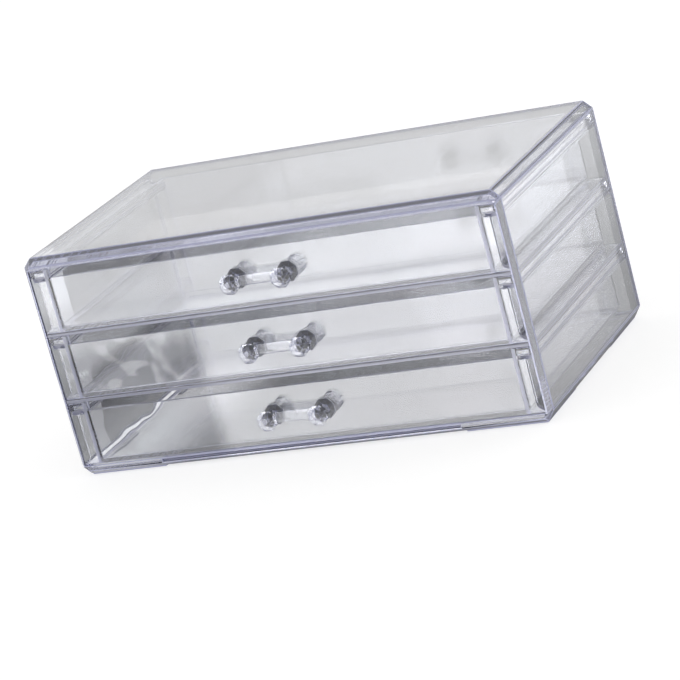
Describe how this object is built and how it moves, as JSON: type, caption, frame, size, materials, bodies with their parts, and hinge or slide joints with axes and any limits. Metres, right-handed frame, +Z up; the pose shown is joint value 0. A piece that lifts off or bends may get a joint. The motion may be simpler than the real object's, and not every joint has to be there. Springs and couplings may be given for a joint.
{
  "type": "drawer organizer",
  "caption": "Clear desktop organizer with stacked pull-out drawers for make-up and jewellery, bevelled front rim, chamfered edges and cut-crystal pulls.",
  "frame": {"origin": "on the table, at the middle of the whole footprint, pulls and rear tails included", "axes": "+X to the right of someone facing the drawers, +Y to the back, +Z up; drawers open along -Y"},
  "size_m": [0.24, 0.1504, 0.109],
  "materials": {
    "clear_case": "clear polished moulded plastic with a faint blue-violet tint at the edges",
    "clear_drawer": "clear polished moulded plastic, slightly wavy",
    "crystal_pull": "clear faceted plastic, like cut crystal"
  },
  "bodies": {
    "case": {"outer_shell": "clear_case", "back_panel": "clear_case", "upper_shelf": "clear_case", "lower_shelf": "clear_case", "corner_feet": "clear_case", "upper_left_runner": "clear_case", "upper_right_runner": "clear_case", "middle_left_runner": "clear_case", "middle_right_runner": "clear_case", "lower_left_runner": "clear_case", "lower_right_runner": "clear_case"},
    "upper_drawer": {"upper_drawer_tray": "clear_drawer", "upper_pull_left_knob": "crystal_pull", "upper_pull_right_knob": "crystal_pull", "upper_pull_rod": "crystal_pull"},
    "middle_drawer": {"middle_drawer_tray": "clear_drawer", "middle_pull_left_knob": "crystal_pull", "middle_pull_right_knob": "crystal_pull", "middle_pull_rod": "crystal_pull"},
    "lower_drawer": {"lower_drawer_tray": "clear_drawer", "lower_pull_left_knob": "crystal_pull", "lower_pull_right_knob": "crystal_pull", "lower_pull_rod": "crystal_pull"}
  },
  "joints": [
    {"name": "upper_drawer_slide", "type": "slide", "parent": "case", "child": "upper_drawer", "axis": [0, -1, 0], "range_m": [0, 0.105]},
    {"name": "middle_drawer_slide", "type": "slide", "parent": "case", "child": "middle_drawer", "axis": [0, -1, 0], "range_m": [0, 0.105]},
    {"name": "lower_drawer_slide", "type": "slide", "parent": "case", "child": "lower_drawer", "axis": [0, -1, 0], "range_m": [0, 0.105]}
  ]
}
